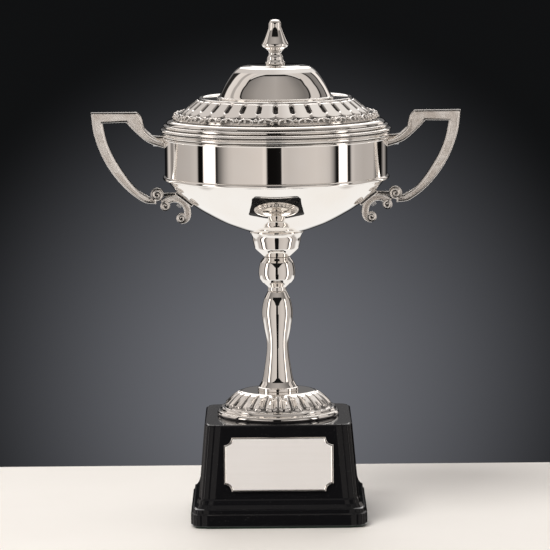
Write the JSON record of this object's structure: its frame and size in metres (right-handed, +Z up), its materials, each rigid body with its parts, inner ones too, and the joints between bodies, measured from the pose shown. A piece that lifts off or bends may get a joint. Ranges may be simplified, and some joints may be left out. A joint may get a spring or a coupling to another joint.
{
  "type": "cup trophy",
  "caption": "Covered presentation cup with scroll handles, turned stem and gadrooned foot on a stepped black plinth with blank nameplate; the domed lid lifts off.",
  "frame": {"origin": "centre of the felt underside, on the axis of the cup", "axes": "+Z up along the stem, X through both handles, -Y towards the nameplate"},
  "size_m": [0.2168, 0.1354, 0.2925],
  "materials": {
    "silver": "polished silver plate, warm tone",
    "cast_silver": "cast, polished edges and stippled matt panels",
    "satin_silver": "satin engraving plate",
    "black_moulding": "glossy black moulding",
    "felt": "dark green baize",
    "zinc_steel": "bright zinc",
    "ballast_iron": "rough casting",
    "adhesive": "thin adhesive pad",
    "fibre": "red vulcanised fibre",
    "brass_nut": "plain brass"
  },
  "bodies": {
    "cup": {"felt_pad": "felt", "plinth_shell": "black_moulding", "plinth_weight": "ballast_iron", "plinth_washer": "zinc_steel", "plinth_spring_washer": "zinc_steel", "plinth_nut": "zinc_steel", "nameplate_adhesive": "adhesive", "nameplate": "satin_silver", "foot": "silver", "foot_ring": "silver", "stem_column": "silver", "stem_knop": "silver", "stem_collar": "silver", "tie_rod": "zinc_steel", "bowl_shell": "silver", "bowl_bead": "silver", "rim_ring": "silver", "bowl_gasket": "fibre", "bowl_washer": "zinc_steel", "bowl_nut": "brass_nut", "handle_left": "cast_silver", "handle_right": "cast_silver", "handle_screws": "zinc_steel", "handle_washers": "zinc_steel"},
    "lid": {"lid_cover": "silver", "lid_outer_ring": "silver", "lid_locating_ring": "silver", "lid_gadroon_border": "silver", "lid_bead_border": "silver", "lid_dome": "silver", "finial": "cast_silver", "finial_washer": "zinc_steel", "finial_screw": "zinc_steel"}
  },
  "joints": [
    {"name": "lid_lift", "type": "slide", "parent": "cup", "child": "lid", "axis": [0, 0, 1], "range_m": [0, 0.12]}
  ]
}
